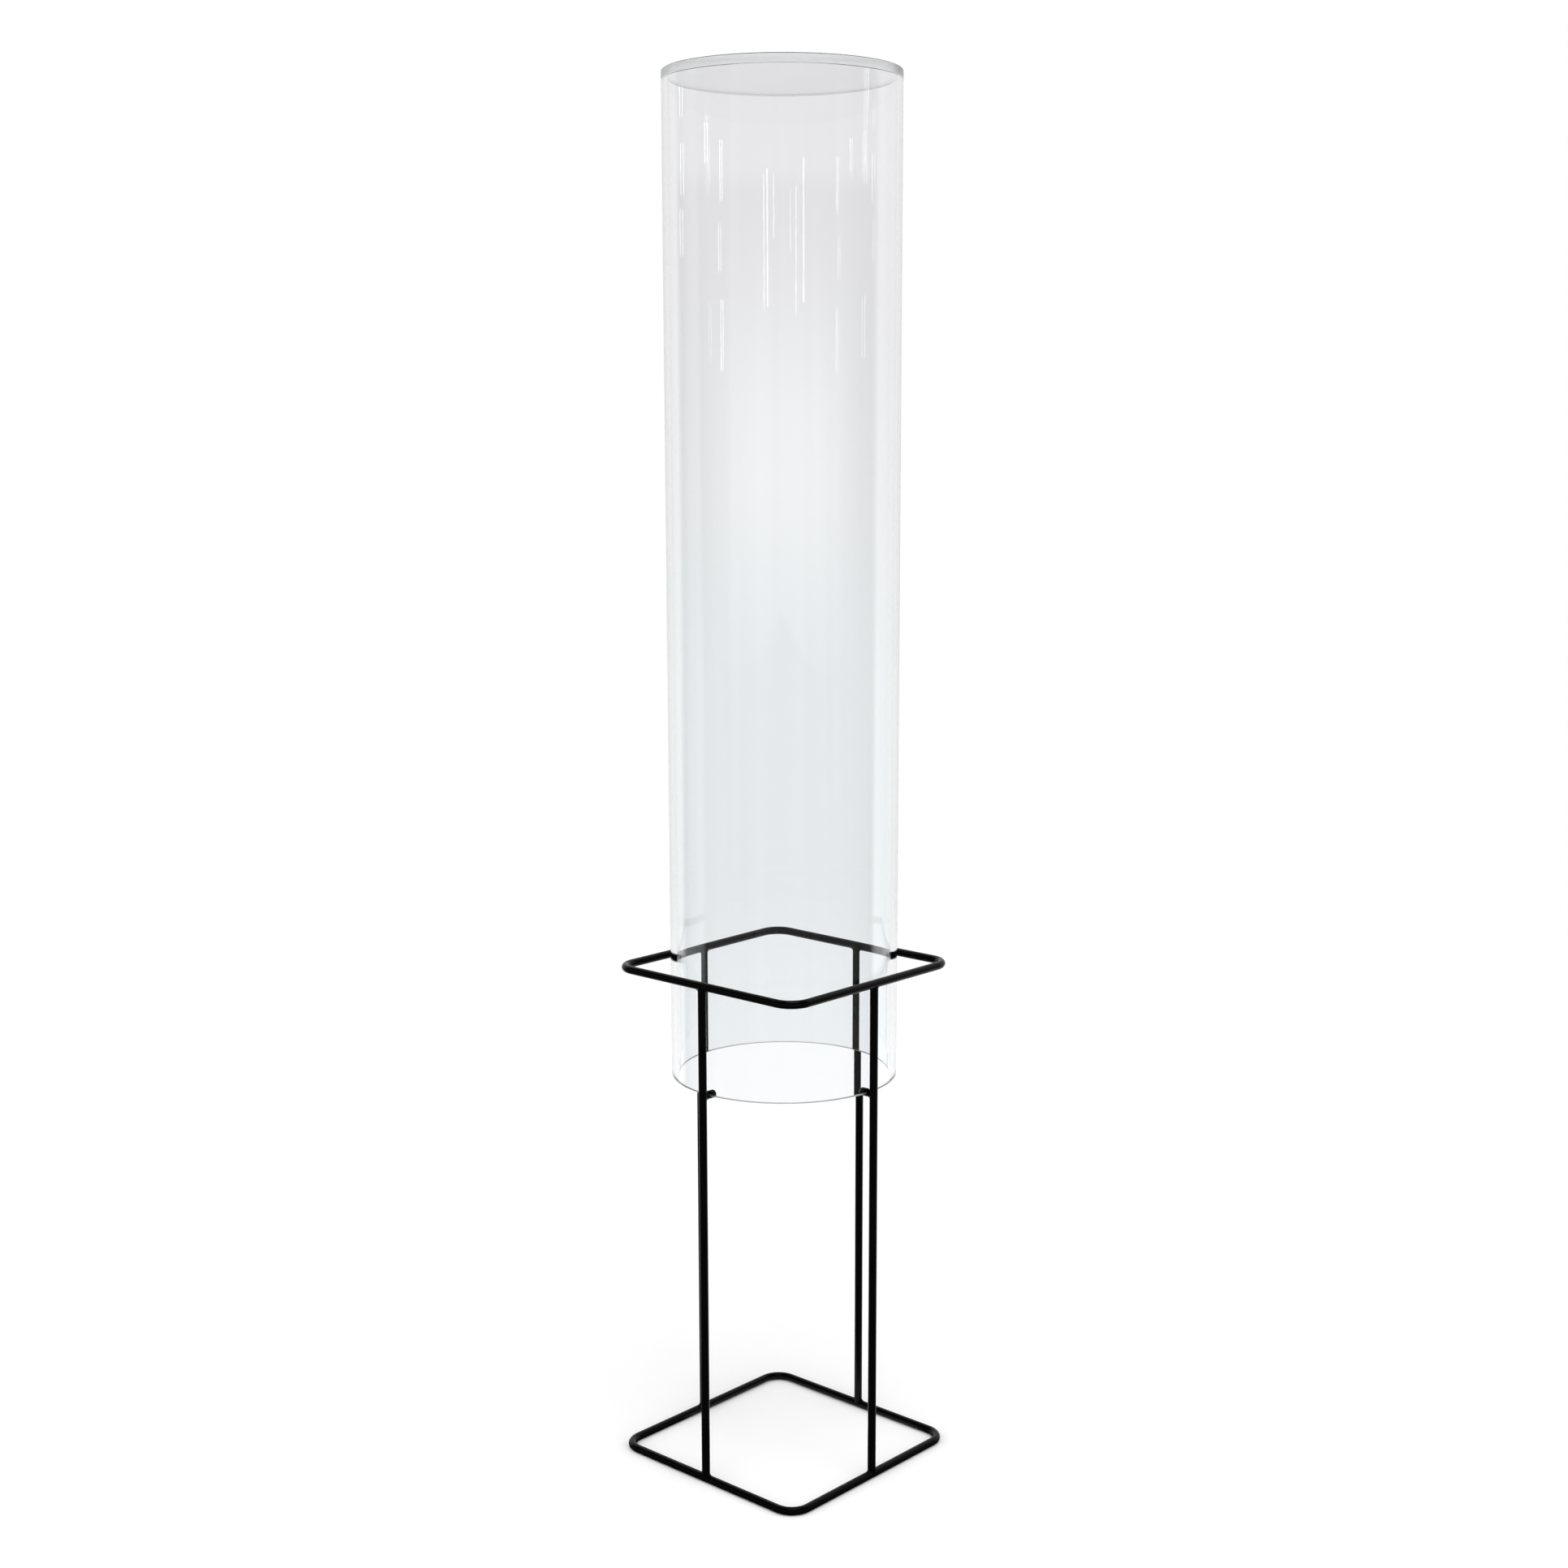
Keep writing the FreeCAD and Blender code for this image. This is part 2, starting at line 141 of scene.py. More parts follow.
# %% [markdown]
# The bars are mild steel with a black powder coat: plastic powder, sprayed on and melted
# in an oven. It leaves a nearly black, semi-gloss skin with a faint orange-peel waviness
# of about a millimetre, and a sheen that changes a little every few centimetres. Its IOR
# is that of most resins, 1.5. The mirror share is set below the usual half, because the
# real bars hardly reflect. On the welds the coat also follows small lumps of the metal
# under it, which are a second, longer noise.

# %% Powder-coated steel
COAT_DARK, COAT_LIGHT = "#010101", "#050505"
COAT_GLOSSY, COAT_DULL = 0.16, 0.26
COAT_CLOUD_MM = 35
RESIN_IOR = 1.5
COAT_MIRROR_SHARE = 0.12


def powder_coat(name, peel_mm, peel_height_mm, lump_mm=None):
    material, tree = new_material(name)
    place = add(tree, "ShaderNodeTexCoord").outputs["Object"]
    peel = add(tree, "ShaderNodeTexNoise",
               {"Vector": place, "Scale": per_metre(peel_mm), "Detail": 3.0})
    cloud = add(tree, "ShaderNodeTexNoise",
                {"Vector": place, "Scale": per_metre(COAT_CLOUD_MM), "Detail": 2.0})
    colour = add(tree, "ShaderNodeMix",
                 {0: cloud.outputs["Fac"], 6: linear(COAT_DARK), 7: linear(COAT_LIGHT)},
                 data_type="RGBA")
    sheen = add(tree, "ShaderNodeMapRange",
                {"Value": cloud.outputs["Fac"], "To Min": COAT_GLOSSY, "To Max": COAT_DULL})
    height = peel.outputs["Fac"]
    if lump_mm:
        lumps = add(tree, "ShaderNodeTexNoise",
                    {"Vector": place, "Scale": per_metre(lump_mm), "Detail": 1.0})
        height = add(tree, "ShaderNodeMath", {0: height, 1: lumps.outputs["Fac"]},
                     operation="ADD").outputs[0]
    bump = add(tree, "ShaderNodeBump",
               {"Height": height, "Distance": peel_height_mm * MM, "Strength": 1.0})
    coat = add(tree, "ShaderNodeBsdfPrincipled",
               {"Base Color": colour.outputs[2], "Roughness": sheen.outputs["Result"],
                "Normal": bump.outputs["Normal"], "IOR": RESIN_IOR,
                "Specular IOR Level": COAT_MIRROR_SHARE})
    add(tree, "ShaderNodeOutputMaterial", {"Surface": coat.outputs[0]})
    return material


black_powder_coat = powder_coat("black_powder_coated_steel_bar",
                                peel_mm=1.2, peel_height_mm=0.02)
black_weld_coat = powder_coat("black_powder_coated_fillet_weld",
                              peel_mm=0.8, peel_height_mm=0.05, lump_mm=2.5)
print("made", black_powder_coat.name, "and", black_weld_coat.name)

# %% [markdown]
# The column is acrylic: clear, a shade lighter than window glass, with an IOR of 1.49. It
# is cast as a tube and polished, which leaves very faint draw lines along its length.
# They don't show in what is seen through the wall, but they stretch the reflections of
# lamps into long upright streaks. A noise that is short around the tube and long along
# it, used as a bump of a hundredth of a millimetre, does the same. The disc is cut from
# sheet, and its waves are as long as they are wide. Its colour is also neutral near the
# top and a touch cooler lower down. That is painted light: the acrylic is the same all
# the way up, and the change with height stands in for the cooler light round the lower
# part of the column.

# %% Polished acrylic
ACRYLIC_IOR = 1.49
# painted light: neutral above and cooler below, standing in for the light round the column
UPPER_PAINTED_LIGHT_TINT, LOWER_PAINTED_LIGHT_TINT = "#fafafb", "#fcfeff"
COOL_BELOW, NEUTRAL_ABOVE = 0.80, 1.15


def polished_acrylic(name, darker, clearer, across_mm, along_mm, wave_mm):
    material, tree = new_material(name)
    place = add(tree, "ShaderNodeTexCoord").outputs["Object"]
    stretch = add(tree, "ShaderNodeMapping",
                  {"Vector": place, "Scale": (1, 1, across_mm / along_mm)})
    lines = add(tree, "ShaderNodeTexNoise",
                {"Vector": stretch.outputs[0], "Scale": per_metre(across_mm),
                 "Detail": 2.0})
    height = add(tree, "ShaderNodeSeparateXYZ", {0: place}).outputs["Z"]
    low_down = add(tree, "ShaderNodeMapRange",
                   {"Value": height, "From Min": COOL_BELOW, "From Max": NEUTRAL_ABOVE,
                    "To Min": 1.0, "To Max": 0.0})
    # painted light: the colour changes with height, as the light round the column does
    painted_light_tint = add(tree, "ShaderNodeMix",
               {0: low_down.outputs["Result"], 6: linear(UPPER_PAINTED_LIGHT_TINT),
                7: linear(LOWER_PAINTED_LIGHT_TINT)}, data_type="RGBA")
    stripes = add(tree, "ShaderNodeMix",
                  {0: lines.outputs["Fac"], 6: linear(darker), 7: linear(clearer)},
                  data_type="RGBA")
    colour = add(tree, "ShaderNodeMix", {0: 1.0, 6: stripes.outputs[2], 7: painted_light_tint.outputs[2]},
                 data_type="RGBA", blend_type="MULTIPLY")
    bump = add(tree, "ShaderNodeBump",
               {"Height": lines.outputs["Fac"], "Distance": wave_mm * MM, "Strength": 1.0})
    acrylic = add(tree, "ShaderNodeBsdfPrincipled",
                  {"Base Color": colour.outputs[2], "Roughness": 0.0,
                   "Normal": bump.outputs["Normal"], "IOR": ACRYLIC_IOR,
                   "Transmission Weight": 1.0})
    add(tree, "ShaderNodeOutputMaterial", {"Surface": acrylic.outputs[0]})
    return material


clear_acrylic_tube = polished_acrylic("polished_clear_acrylic_tube", "#fafafa", "#ffffff",
                                      across_mm=14, along_mm=900, wave_mm=0.008)
clear_acrylic_disc = polished_acrylic("polished_clear_acrylic_disc", "#f8f8f8", "#fdfdfd",
                                      across_mm=40, along_mm=40, wave_mm=0.01)
print("made", clear_acrylic_tube.name, "and", clear_acrylic_disc.name)

# %% [markdown]
# Where acrylic is sawn and ground, at the tube's lower end and round the disc, its skin is
# full of fine scratches. Such an edge is still clear but a little frosted, and it catches
# light as a thin pale line. The scratches could be cut into the mesh, but for an edge
# this narrow a noise in the roughness and in the bump is enough. Real ones are a tenth of
# a millimetre wide, too fine to show in the render, so the noise is four times as coarse.

# %% Ground acrylic edges
GRIT_MM = 0.4
SCRATCH_DEPTH_MM = 0.01
SCRATCH_STRENGTH = 0.5


def ground_acrylic(name, darker, clearer, frost):
    material, tree = new_material(name)
    place = add(tree, "ShaderNodeTexCoord").outputs["Object"]
    grit = add(tree, "ShaderNodeTexNoise",
               {"Vector": place, "Scale": per_metre(GRIT_MM), "Detail": 4.0})
    roughness = add(tree, "ShaderNodeMapRange",
                    {"Value": grit.outputs["Fac"], "To Min": frost / 2, "To Max": frost})
    colour = add(tree, "ShaderNodeMix",
                 {0: grit.outputs["Fac"], 6: linear(darker), 7: linear(clearer)},
                 data_type="RGBA")
    bump = add(tree, "ShaderNodeBump",
               {"Height": grit.outputs["Fac"], "Distance": SCRATCH_DEPTH_MM * MM,
                "Strength": SCRATCH_STRENGTH})
    acrylic = add(tree, "ShaderNodeBsdfPrincipled",
                  {"Base Color": colour.outputs[2],
                   "Roughness": roughness.outputs["Result"],
                   "Normal": bump.outputs["Normal"], "IOR": ACRYLIC_IOR,
                   "Transmission Weight": 1.0})
    add(tree, "ShaderNodeOutputMaterial", {"Surface": acrylic.outputs[0]})
    return material


ground_tube_end = ground_acrylic("ground_acrylic_tube_end", "#f6f7f8", "#ffffff",
                                 frost=0.5)
ground_disc_edge = ground_acrylic("ground_acrylic_disc_edge", "#eceeef", "#f8f9fa",
                                  frost=0.3)
print("made", ground_tube_end.name, "and", ground_disc_edge.name)

# %% [markdown]
# The rings, the legs and the short rests have the right shape in CAD, down to their
# fish-mouthed ends. They could be modelled once more here, but nothing would be gained,
# so they stay. Giving such a piece a better finish means putting a new material in its
# slots.

# %% Coat the bars
SIDES = {"right": 0, "back": 90, "left": 180, "front": 270}
SIDES_WITH_A_REST = ("right", "front")

bars = ["bottom_ring", "top_ring"]
bars += ["leg_" + side for side in SIDES]
bars += ["rest_" + side for side in SIDES_WITH_A_REST]
for name in bars:
    slots = nodes[name].data.materials
    slots.clear()
    slots.append(black_powder_coat)
print("coated", len(bars), "bars")

# %% [markdown]
# A fillet weld fills the corner between two bars. The CAD has it as a plain web; here it
# becomes a bead. A welder adds the metal in drops, and each drop leaves a ripple across
# the bead. A bump in the material could draw ripples, but it would leave the bead's
# outline straight, so the mesh has them: an oval section is carried round a quarter
# circle, from inside one bar to inside the other, and swells and shrinks on the way. Only
# the hollow of the bead shows.

# %% A weld bead
BEAD_STEPS = 48
BEAD_POINTS = 20
BEAD_HALF_WIDTH = 2.6 * MM
BEAD_SINK = 0.3 * MM
RIPPLE_LENGTH = 1.6 * MM
RIPPLE_HEIGHT = 0.12 * MM


def bead_mesh(parts, joint, along, up, hollow):
    """Add one bead to a bmesh: joint is where the two bars' axes meet."""
    reach = BAR_RADIUS + hollow
    across = along.cross(up)
    thick = BAR_RADIUS - BEAD_SINK
    loops = []
    for step in range(BEAD_STEPS + 1):
        angle = math.pi + math.pi / 2 * step / BEAD_STEPS
        outward = along * math.cos(angle) + up * math.sin(angle)
        middle = joint + (along + up) * reach + outward * reach
        travelled = reach * (angle - math.pi)
        ripple = RIPPLE_HEIGHT * math.cos(2 * math.pi * travelled / RIPPLE_LENGTH)
        loop = []
        for point in range(BEAD_POINTS):
            turn = 2 * math.pi * point / BEAD_POINTS
            spot = middle + outward * (thick + ripple) * math.cos(turn)
            loop.append(parts.verts.new(spot + across * BEAD_HALF_WIDTH * math.sin(turn)))
        loops.append(loop)
    for first, second in zip(loops, loops[1:]):
        for point in range(BEAD_POINTS):
            after = (point + 1) % BEAD_POINTS
            parts.faces.new((first[point], first[after], second[after], second[point]))
    parts.faces.new(loops[0])
    parts.faces.new(loops[-1][::-1])


print("a bead has", BEAD_STEPS * BEAD_POINTS + 2, "faces")

# %% [markdown]
# A bmesh is only a set of faces. To become a piece of the lamp it needs a mesh, its
# materials, an object, and a body to ride on. That is the same for every new piece, so
# one function does it. It also shades the faces smooth.

# %% From faces to a piece
def new_piece(name, parts, materials, body):
    """Turn a bmesh into a smooth piece that rides on a body."""
    bmesh.ops.recalc_face_normals(parts, faces=parts.faces[:])
    for face in parts.faces:
        face.smooth = True
    mesh = bpy.data.meshes.new(name)
    parts.to_mesh(mesh)
    parts.free()
    for material in materials:
        mesh.materials.append(material)
    piece = bpy.data.objects.new(name, mesh)
    bpy.context.collection.objects.link(piece)
    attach(piece, body)
    return piece


# %% [markdown]
# Every leg has a pair of beads at its foot and at its head, one on each side, and the two
# legs with a rest have a single one under it. They are made for the right-hand leg's
# directions and turned about the upright axis for the others. Copies of one mesh could be
# placed instead, but then each pair would be two pieces and not one. Each piece replaces
# the CAD weld of the same name.

# %% Where the beads go
FRAME_HOLLOW = 5 * MM
REST_HOLLOW = 4 * MM

right = Vector((1, 0, 0))
back = Vector((0, 1, 0))
up = Vector((0, 0, 1))
foot = Vector((RING_HALF, 0, FOOT_HEIGHT))
head = Vector((RING_HALF, 0, HEAD_HEIGHT))
rest = Vector((RING_HALF, 0, REST_HEIGHT))
JOINTS = {
    "foot": (SIDES, [(foot, back, up, FRAME_HOLLOW), (foot, -back, up, FRAME_HOLLOW)]),
    "head": (SIDES, [(head, back, -up, FRAME_HOLLOW), (head, -back, -up, FRAME_HOLLOW)]),
    "rest": (SIDES_WITH_A_REST, [(rest, -right, -up, REST_HOLLOW)]),
}
bead_count = sum(len(sides) * len(corners) for sides, corners in JOINTS.values())
print("corners to weld:", bead_count)

# %% Weld the stand
def weld_piece(name, degrees, corners, cad_node):
    turned = Matrix.Rotation(math.radians(degrees), 3, "Z")
    parts = bmesh.new()
    for joint, along, up, hollow in corners:
        bead_mesh(parts, turned @ joint, turned @ along, turned @ up, hollow)
    piece = new_piece(name, parts, [black_weld_coat], "stand")
    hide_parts(cad_node)
    print("laid", piece.name, "on", cad_node)


for place, (sides, corners) in JOINTS.items():
    for side in sides:
        weld_piece("bead_%s_%s" % (place, side), SIDES[side], corners,
                   "%s_weld_%s" % (place, side))

# %% [markdown]
# Light bends at every face of a clear piece, so a coarse circle shows at once as dark
# upright stripes. The CAD tube has some seventy sides. Smooth shading alone would hide
# them on a solid thing but not here, so the pieces that replace it are turned again from
# the same outline, with 256 sides. The edges between the outline's bands stay sharp.

# %% Turn a clear piece
TURN_SIDES = 256


def turned_piece(name, outline, ground, hollow, materials, cad_node):
    """Turn an outline of (radius, height); ground lists the bands that are ground."""
    parts = bmesh.new()
    turn = [2 * math.pi * side / TURN_SIDES for side in range(TURN_SIDES)]
    rings = [[parts.verts.new((radius * math.cos(angle), radius * math.sin(angle), height))
              for angle in turn] for radius, height in outline]
    bands = len(outline) if hollow else len(outline) - 1
    for band in range(bands):
        low, high = rings[band], rings[(band + 1) % len(outline)]
        for side in range(TURN_SIDES):
            after = (side + 1) % TURN_SIDES
            face = parts.faces.new((low[side], low[after], high[after], high[side]))
            face.material_index = 1 if band in ground else 0
    if not hollow:
        parts.faces.new(rings[0])
        parts.faces.new(rings[-1])
    for ring in rings:
        for side in range(TURN_SIDES):
            parts.edges.get((ring[side], ring[(side + 1) % TURN_SIDES])).smooth = False
    piece = new_piece(name, parts, materials, "tube")
    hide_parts(cad_node)
    print(name, "has", len(piece.data.polygons), "faces")


print("clear pieces are turned with", TURN_SIDES, "sides")

# %% [markdown]
# The tube is open at its lower end, where its rim is ground with a small bevel on each
# side. Its upper end is bonded to the disc. A cement line always holds a little air,
# which shows as a fine grey line, so the tube stops a fiftieth of a millimetre under the
# disc. Inside the joint a still smaller bevel sends the light away, and shows as the thin
# dark line round the top. Both could be painted on, but as real gaps and faces they look
# right from every side.

# %% The clear tube
TUBE_WALL = 6 * MM
EDGE_CHAMFER = 0.6 * MM
JOINT_CHAMFER = 0.2 * MM
CEMENT_LINE = 0.02 * MM
RIM_BEVELS_AND_FACE = (4, 5, 6)

inner = TUBE_RADIUS - TUBE_WALL
rim = tube_low.z
joint_height = tube_high.z - CEMENT_LINE
tube_outline = [
    (TUBE_RADIUS, rim + EDGE_CHAMFER), (TUBE_RADIUS, joint_height),
    (inner + JOINT_CHAMFER, joint_height), (inner, joint_height - JOINT_CHAMFER),
    (inner, rim + EDGE_CHAMFER), (inner + EDGE_CHAMFER, rim),
    (TUBE_RADIUS - EDGE_CHAMFER, rim),
]
turned_piece("clear_tube", tube_outline, ground=RIM_BEVELS_AND_FACE, hollow=True,
             materials=[clear_acrylic_tube, ground_tube_end],
             cad_node="tube")

# %% [markdown]
# The disc lies on the tube and is as wide as it. Its two faces are polished, and its edge
# is ground, with a small bevel round the top.

# %% The clear disc on top
EDGE_AND_BEVEL = (0, 1)

disc_outline = [
    (TUBE_RADIUS, cap_low.z), (TUBE_RADIUS, cap_high.z - EDGE_CHAMFER),
    (TUBE_RADIUS - EDGE_CHAMFER, cap_high.z),
]
turned_piece("clear_disc", disc_outline, ground=EDGE_AND_BEVEL, hollow=False,
             materials=[clear_acrylic_disc, ground_disc_edge],
             cad_node="cap")

# %% [markdown]
# What a polished wall mirrors depends on what stands round it. Here that is a white sweep
# of paper behind the lamp and a darker room in front of it. Screens and walls could be
# built for this, but they would also change the light on the floor. So the floor and the
# room ask each ray what it has met: only one that a glossy face has sent back sees them.
# One function tells such rays from the others. A second one gives the share of the sweep
# in a direction seen from the lamp: 1 where the direction points at it, 0 beside it, with
# a soft edge between.

# %% What mirrored rays see
# azimuth of its middle from -Y towards +X, half its width, and its soft edge, in degrees
WHITE_SWEEP = (212, 70, 4)
MORE_THAN_NONE = 0.5


def mirrored_ray(tree):
    """1 for a ray that a glossy face has sent back on its way, 0 for all the others."""
    path = add(tree, "ShaderNodeLightPath")
    sent_back = add(tree, "ShaderNodeMath",
                    {0: path.outputs["Glossy Depth"], 1: MORE_THAN_NONE},
                    operation="GREATER_THAN")
    mirrored = add(tree, "ShaderNodeMath",
                   {0: sent_back.outputs[0], 1: path.outputs["Is Diffuse Ray"]},
                   operation="SUBTRACT", use_clamp=True)
    return mirrored.outputs[0]


def share_of(tree, direction, place):
    """1 where a level direction points at a thing that stands round the lamp, else 0."""
    azimuth, half_width, soft_edge = place
    turn = math.radians(azimuth)
    along = add(tree, "ShaderNodeVectorMath",
                {0: direction, 1: (math.sin(turn), -math.cos(turn), 0)},
                operation="DOT_PRODUCT")
    outer, inner = (math.cos(math.radians(half_width + side * soft_edge))
                    for side in (1, -1))
    share = add(tree, "ShaderNodeMapRange",
                {"Value": along.outputs["Value"], "From Min": outer, "From Max": inner},
                interpolation_type="SMOOTHSTEP")
    return share.outputs["Result"]


print("white sweep from %d to %d degrees"
      % (WHITE_SWEEP[0] - WHITE_SWEEP[1], WHITE_SWEEP[0] + WHITE_SWEEP[1]))

# %% [markdown]
# The floor is a plain pale sheet, painted matt white with a roller, which leaves faint
# clouds of a few centimetres. It is lit so evenly that it is as white as the background.
# To mirrored rays it is white under the sweep and grey in front. That grey is painted
# shade: it stands in for the dim room in front, and the floor itself is white there too.
# A paper sweep would curve up behind the lamp, but it would have to stand on the far
# side of every view. So the floor lies flat and turns smoothly into the white of the
# background far from the lamp, and no horizon shows through the column.

# %% Paint for the floor
FLOOR_WHITE, FLOOR_PATCH = "#f4f4f4", "#f7f7f7"
FLOOR_PAINTED_SHADE = "#595959"
FLOOR_CLOUD_MM = 60
MATT = 0.5
SWEEP_STARTS_TO_CURVE, SWEEP_STANDS_UP = 1.2, 3.0


def floor_paint():
    material, tree = new_material("matt_white_floor_paint")
    place = add(tree, "ShaderNodeTexCoord").outputs["Object"]
    cloud = add(tree, "ShaderNodeTexNoise",
                {"Vector": place, "Scale": per_metre(FLOOR_CLOUD_MM), "Detail": 2.0})
    pale = add(tree, "ShaderNodeMix",
               {0: cloud.outputs["Fac"], 6: linear(FLOOR_WHITE), 7: linear(FLOOR_PATCH)},
               data_type="RGBA").outputs[2]
    outward = add(tree, "ShaderNodeVectorMath", {0: place}, operation="NORMALIZE")
    share = share_of(tree, outward.outputs[0], WHITE_SWEEP)
    by_mirror = mirrored_ray(tree)
    # painted shade: mirrored rays see the floor in front as grey, standing in for the dim room
    mirrored = add(tree, "ShaderNodeMix", {0: share, 6: linear(FLOOR_PAINTED_SHADE), 7: pale},
                   data_type="RGBA").outputs[2]
    near, far = (add(tree, "ShaderNodeMix", {0: by_mirror, 6: straight, 7: mirrored},
                     data_type="RGBA").outputs[2] for straight in (pale, WHITE))
    reach = add(tree, "ShaderNodeVectorMath", {0: place}, operation="LENGTH")
    curve = add(tree, "ShaderNodeMapRange",
                {"Value": reach.outputs["Value"], "From Min": SWEEP_STARTS_TO_CURVE,
                 "From Max": SWEEP_STANDS_UP}, interpolation_type="SMOOTHSTEP")
    sheet = add(tree, "ShaderNodeBsdfDiffuse", {"Color": near, "Roughness": MATT})
    background = add(tree, "ShaderNodeEmission", {"Color": far, "Strength": 1.0})
    surface = add(tree, "ShaderNodeMixShader",
                  {0: curve.outputs["Result"], 1: sheet.outputs[0],
                   2: background.outputs[0]})
    add(tree, "ShaderNodeOutputMaterial", {"Surface": surface.outputs[0]})
    return material


matt_white_floor_paint = floor_paint()
print("made", matt_white_floor_paint.name)

# %% [markdown]
# The sheet itself is one flat square. It isn't part of the lamp.

# %% Lay the floor
FLOOR_SIZE = 14.0

floor_parts = bmesh.new()
bmesh.ops.create_grid(floor_parts, x_segments=1, y_segments=1, size=FLOOR_SIZE / 2)
floor_mesh = bpy.data.meshes.new("floor")
floor_parts.to_mesh(floor_mesh)
floor_parts.free()
floor_mesh.materials.append(matt_white_floor_paint)
floor = bpy.data.objects.new("floor", floor_mesh)
bpy.context.collection.objects.link(floor)
print("floor of", FLOOR_SIZE, "m")

# %% [markdown]
# A clear thing has no colour of its own: it shows what stands round it. It looks best
# before a white field, with a dimmer room in front, so that its walls read as a light
# grey and their edges as pale bands. The world around the scene gives both, and nothing
# in it moves with the camera. To the camera, and to light that has come through the
# acrylic, it is white. To the floor it is a soft white, a little stronger.

# %% The white room
ROOM_SEEN = 1.0
ROOM_LIGHT = 1.12

world = bpy.data.worlds.new("white_room")
bpy.context.scene.world = world
world.use_nodes = True
room = world.node_tree
room.nodes.clear()
path = add(room, "ShaderNodeLightPath")
white_room = add(room, "ShaderNodeMix",
                 {0: path.outputs["Is Diffuse Ray"], 2: ROOM_SEEN, 3: ROOM_LIGHT})
direction = add(room, "ShaderNodeTexCoord").outputs["Generated"]
rise = add(room, "ShaderNodeSeparateXYZ", {0: direction}).outputs["Z"]
print("the room is", ROOM_SEEN, "to the camera and", ROOM_LIGHT, "to the floor")

# %% [markdown]
# In front of the lamp the room is dim. Its walls are a dark grey, and the far part of its
# ceiling, from about six degrees above the horizon, is lighter and fades higher up. An
# image of a room could hold this, but a few ramps are easier to change. The upward part
# of a direction is the sine of its angle above the horizon, so each ramp runs between
# two sines.

# %% The dim room in front
ROOM_WALLS, ROOM_CEILING = 0.09, 0.45
CEILING_STARTS, CEILING_SOFT_EDGE = 5.7, 0.4
CEILING_FADES, CEILING_IS_DARK = 10, 22
# share of its light that the ceiling keeps where it is dark
DARK_SHARE = 0.1


def sine(degrees):
    return math.sin(math.radians(degrees))


walls_to_ceiling = add(room, "ShaderNodeMapRange",
                       {"Value": rise,
                        "From Min": sine(CEILING_STARTS - CEILING_SOFT_EDGE),
                        "From Max": sine(CEILING_STARTS + CEILING_SOFT_EDGE),
                        "To Min": ROOM_WALLS, "To Max": ROOM_CEILING},
                       interpolation_type="SMOOTHSTEP")
fade = add(room, "ShaderNodeMapRange",
           {"Value": rise, "From Min": sine(CEILING_FADES),
            "From Max": sine(CEILING_IS_DARK), "To Min": 1.0, "To Max": DARK_SHARE},
           interpolation_type="SMOOTHSTEP")
dim_room = add(room, "ShaderNodeMath",
               {0: walls_to_ceiling.outputs["Result"], 1: fade.outputs["Result"]},
               operation="MULTIPLY")
print("ceiling from", CEILING_STARTS, "to", CEILING_IS_DARK, "degrees above the horizon")

# %% [markdown]
# One wall of the dim room is lit. It lies about level with the column's middle and fills
# the polished wall with light there. Its edges are very soft: a sharp one would stand in
# the column as a white shape.

# %% The lit wall
# azimuth of its middle, half its width, and its soft edge, in degrees
LIT_WALL = (48, 55, 35)
LIT_WALL_GLOW = 0.75
# height of its middle over the horizon, half its height, and its soft edge, in degrees
LIT_WALL_LEVEL, LIT_WALL_REACH, LIT_WALL_SOFT_EDGE = -0.8, 3.6, 3.4

above_level = add(room, "ShaderNodeMath", {0: rise, 1: sine(LIT_WALL_LEVEL)},
                  operation="SUBTRACT")
off_level = add(room, "ShaderNodeMath", {0: above_level.outputs[0]}, operation="ABSOLUTE")
band = add(room, "ShaderNodeMapRange",
           {"Value": off_level.outputs[0],
            "From Min": sine(LIT_WALL_REACH + LIT_WALL_SOFT_EDGE),
            "From Max": sine(LIT_WALL_REACH - LIT_WALL_SOFT_EDGE),
            "To Max": LIT_WALL_GLOW},
           interpolation_type="SMOOTHSTEP")
lit_wall = add(room, "ShaderNodeMath",
               {0: band.outputs["Result"], 1: share_of(room, direction, LIT_WALL)},
               operation="MULTIPLY")
print("lit wall at azimuth", LIT_WALL[0], "with a glow of", LIT_WALL_GLOW)

# %% [markdown]
# Now the pieces of the room come together. A mirrored ray sees the sweep or, where the
# sweep isn't, the dim room with its lit wall. Every other ray sees the white room.

# %% Put the room together
SWEEP_IN_GLOSS = 0.9

whole_front = add(room, "ShaderNodeMath",
                  {0: dim_room.outputs[0], 1: lit_wall.outputs[0]}, operation="ADD")
mirrored = add(room, "ShaderNodeMix",
               {0: share_of(room, direction, WHITE_SWEEP), 2: whole_front.outputs[0],
                3: SWEEP_IN_GLOSS})
strength = add(room, "ShaderNodeMix",
               {0: mirrored_ray(room), 2: white_room.outputs[0], 3: mirrored.outputs[0]})
field = add(room, "ShaderNodeBackground", {"Color": WHITE, "Strength": strength.outputs[0]})
add(room, "ShaderNodeOutputWorld", {"Surface": field.outputs[0]})
print("the room has", len(room.nodes), "nodes")

# %% [markdown]
# Plain soft lamps do the rest. They are rectangles that face the column, because a small
# window or a softbox is one, and their mirror images keep that shape. A wide one overhead
# lies on the disc and on the tops of the rings.

# %% The lamp overhead
COLUMN_MIDDLE = (tube_low.z + tube_high.z) / 2


